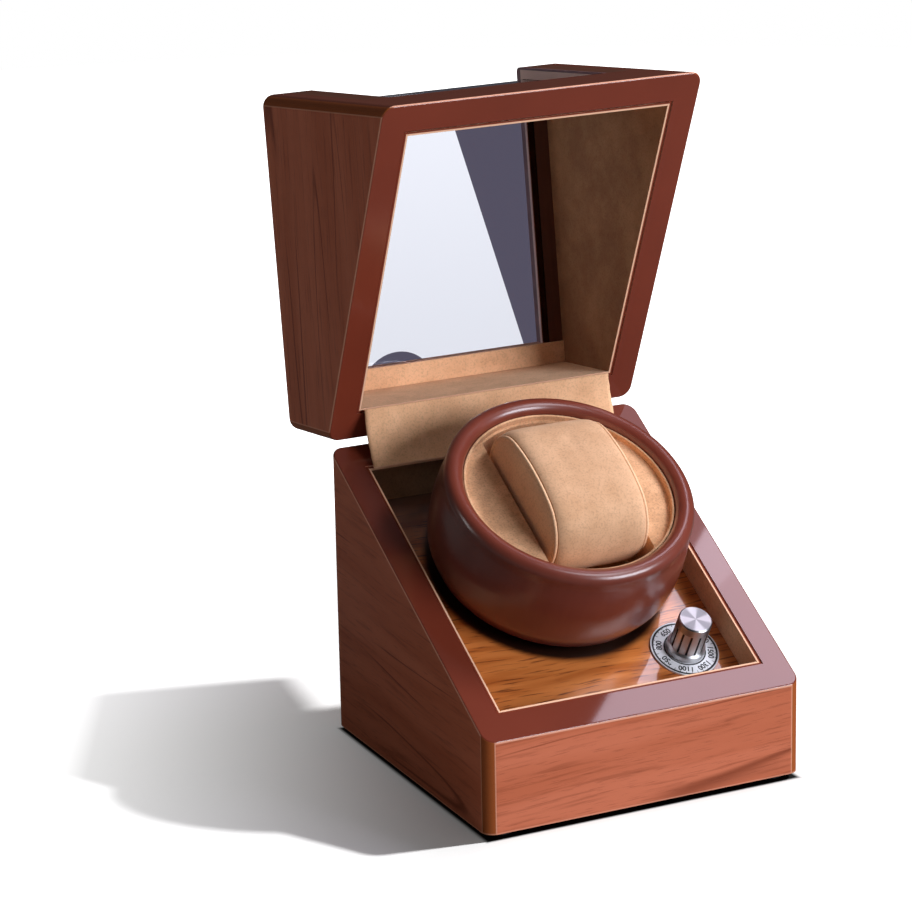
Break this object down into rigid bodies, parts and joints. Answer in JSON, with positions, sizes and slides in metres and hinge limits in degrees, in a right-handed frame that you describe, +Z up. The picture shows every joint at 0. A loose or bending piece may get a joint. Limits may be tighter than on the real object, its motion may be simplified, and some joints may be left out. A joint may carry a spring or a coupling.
{
  "type": "watch winder",
  "caption": "Lacquered wooden case with a sloping deck, a hinged lid with a bent clear window, a speed knob and a tilted turning cup that holds a wristwatch on a cushion.",
  "frame": {"origin": "middle of the case's square footprint, on the surface that the feet stand on", "axes": "+X to the right as the user faces the knob, +Y to the back, towards the hinges, +Z up"},
  "size_m": [0.14, 0.1992, 0.2733],
  "materials": {
    "case_lacquer": "burl veneer under gloss lacquer, plain brown lacquer on rims and corners",
    "window_frame": "dark brown gloss lacquer",
    "plain_wood": "bare board",
    "deck_veneer": "streaked veneer under satin lacquer",
    "cup_wood": "stained, satin lacquer",
    "clear_pane": "clear, polished",
    "suede": "fine suede",
    "insert_suede": "fine suede",
    "cushion_suede": "fine suede over foam",
    "knob_metal": "turned, satin",
    "dial_metal": "satin with printed rings and numbers",
    "hinge_metal": "polished",
    "steel": "zinc plated",
    "cast_metal": "die-cast",
    "bronze": "sintered bronze",
    "drive_plastic": "moulded acetal",
    "black_plastic": "moulded",
    "board_resin": "green solder mask",
    "belt_rubber": "round belt",
    "foot_rubber": "matt",
    "lead_cover": "flexible cover"
  },
  "bodies": {
    "base": {"base_back": "case_lacquer", "base_front": "case_lacquer", "base_liner_back": "suede", "base_liner_front": "suede", "base_liner_sides": "suede", "base_side_left": "case_lacquer", "base_side_right": "case_lacquer", "bearing_tube": "cast_metal", "board_parts": "black_plastic", "board_screws": "steel", "board_spacers": "black_plastic", "bottom_panel": "plain_wood", "bottom_screws": "steel", "circuit_board": "board_resin", "corner_blocks": "plain_wood", "deck": "deck_veneer", "deck_cleats": "plain_wood", "dial_plate": "dial_metal", "drive_belt": "belt_rubber", "drive_plate": "steel", "feet": "foot_rubber", "gearbox_case": "cast_metal", "hinge_flap": "suede", "hinge_leaves_base": "hinge_metal", "hinge_pins": "hinge_metal", "hinge_screws_base": "steel", "jack_nut": "steel", "motor_can": "steel", "motor_lead": "lead_cover", "plate_screws": "steel", "plate_spacers": "steel", "power_jack": "black_plastic", "power_lead": "lead_cover", "spindle_bushes": "bronze", "switch_body": "black_plastic", "switch_nut": "steel"},
    "lid": {"lid_side_left": "case_lacquer", "lid_side_right": "case_lacquer", "lid_back": "case_lacquer", "lid_front_rail": "case_lacquer", "lid_top_rail": "case_lacquer", "window_strips": "window_frame", "window_pane": "clear_pane", "lid_liner_sides": "suede", "lid_liner_front": "suede", "lid_liner_back": "suede", "lid_liner_top": "suede", "hinge_leaves_lid": "hinge_metal", "hinge_screws_lid": "steel"},
    "cup": {"cup_shell": "cup_wood", "cup_insert": "insert_suede", "spindle": "steel", "spindle_screws": "steel", "cup_pulley": "drive_plastic", "spindle_clip": "steel"},
    "motor_drive": {"motor_pulley": "drive_plastic"},
    "knob": {"knob": "knob_metal", "knob_shaft": "steel"},
    "cushion": {"cushion": "cushion_suede", "cushion_caps": "cushion_suede"}
  },
  "joints": [
    {"name": "lid_hinge", "type": "hinge", "parent": "base", "child": "lid", "pos_m": [0, 0.0712, 0.12293], "axis": [1, 0, 0], "range_deg": [0, 97.35], "deforming": ["hinge_flap"]},
    {"name": "cup_spin", "type": "hinge", "parent": "base", "child": "cup", "pos_m": [0, 0.01502, 0.07553], "axis": [0, -0.5031, 0.8642], "continuous": true},
    {"name": "motor_spin", "type": "hinge", "parent": "base", "child": "motor_drive", "pos_m": [-0.034, 0.01502, 0.07553], "axis": [0, -0.5031, 0.8642], "continuous": true},
    {"name": "knob_turn", "type": "hinge", "parent": "base", "child": "knob", "pos_m": [0.038, -0.03251, 0.04786], "axis": [0, -0.5031, 0.8642], "range_deg": [-150, 150]},
    {"name": "cushion_slide", "type": "slide", "parent": "cup", "child": "cushion", "axis": [0, -0.5031, 0.8642], "range_m": [0, 0.11]}
  ],
  "couplings": [
    {"joint": "motor_spin", "follows": "cup_spin", "ratio": 3.4957}
  ]
}
